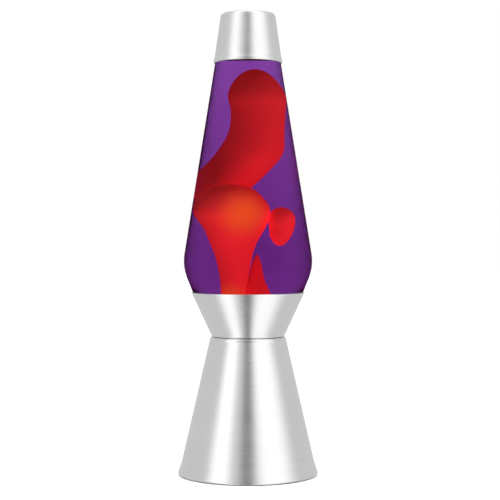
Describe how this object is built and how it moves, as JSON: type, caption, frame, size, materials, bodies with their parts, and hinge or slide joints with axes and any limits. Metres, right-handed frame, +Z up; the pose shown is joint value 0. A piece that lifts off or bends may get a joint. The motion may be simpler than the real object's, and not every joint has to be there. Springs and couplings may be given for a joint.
{
  "type": "lava lamp",
  "caption": "Lava lamp: sealed glass globe of violet liquid and red wax on a waisted spun aluminium base, with a spun cap, lampholder and bulb.",
  "frame": {"origin": "on the lamp's axis, at the surface its feet stand on", "axes": "+Z up along the lamp's axis, towards the cap; -Y towards the front; the cord inlet is at the back, on +Y"},
  "size_m": [0.1308, 0.1308, 0.4317],
  "materials": {
    "aluminium": "spun aluminium with a fine circular brushed grain, clear lacquered",
    "globe_glass": "clear polished bottle glass",
    "bulb_glass": "clear lamp glass",
    "liquid": "clear violet dyed water-based liquid",
    "wax": "translucent red paraffin wax, warm and glossy",
    "rubber": "matt black rubber",
    "black_steel": "satin black painted steel sheet",
    "porcelain": "white glazed porcelain",
    "brass": "drawn brass, slightly dulled",
    "insulator": "black vitrified glass",
    "liner": "white sealing liner",
    "tinplate": "tin-plated steel with a light lacquer",
    "solder": "dull lead-free solder",
    "steel": "zinc-plated steel"
  },
  "bodies": {
    "lamp_base": {"lower_cone": "aluminium", "upper_cone": "aluminium", "waist_rivet_1": "aluminium", "waist_rivet_2": "aluminium", "waist_rivet_3": "aluminium", "bottom_plate": "black_steel", "plate_screw_1": "steel", "plate_screw_2": "steel", "plate_screw_3": "steel", "plate_nut_1": "steel", "plate_nut_2": "steel", "plate_nut_3": "steel", "foot_1": "rubber", "foot_2": "rubber", "foot_3": "rubber", "foot_4": "rubber", "socket_bracket": "steel", "bracket_rivet_1": "steel", "bracket_rivet_2": "steel", "lampholder_body": "porcelain", "lampholder_screw_1": "steel", "lampholder_screw_2": "steel", "terminal_screw_1": "brass", "terminal_screw_2": "brass", "screw_shell": "brass", "centre_contact": "brass", "cord_grommet": "rubber"},
    "globe": {"globe_glass": "globe_glass", "crown_closure": "tinplate", "closure_liner": "liner", "liquid": "liquid", "wax_mass": "wax", "wax_upper_blob": "wax", "wax_droplet": "wax", "heat_coil": "steel"},
    "cap": {"cap": "aluminium"},
    "bulb_axis": {"bulb_contact": "solder"},
    "bulb": {"bulb_glass": "bulb_glass", "bulb_stem": "bulb_glass", "bulb_lead_1": "steel", "bulb_lead_2": "steel", "bulb_filament": "steel", "bulb_cap": "brass", "bulb_insulator": "insulator"}
  },
  "joints": [
    {"name": "globe_lift", "type": "slide", "parent": "lamp_base", "child": "globe", "axis": [0, 0, 1], "range_m": [0, 0.08]},
    {"name": "cap_lift", "type": "slide", "parent": "globe", "child": "cap", "axis": [0, 0, 1], "range_m": [0, 0.06]},
    {"name": "bulb_rise", "type": "slide", "parent": "lamp_base", "child": "bulb_axis", "axis": [0, 0, 1], "range_m": [0, 0.0201]},
    {"name": "bulb_turn", "type": "hinge", "parent": "bulb_axis", "child": "bulb", "pos_m": [0, 0, 0.06], "axis": [0, 0, 1], "range_deg": [0, 1980]}
  ],
  "couplings": [
    {"joint": "bulb_rise", "follows": "bulb_turn", "m_per_rad": 0.0005775}
  ]
}
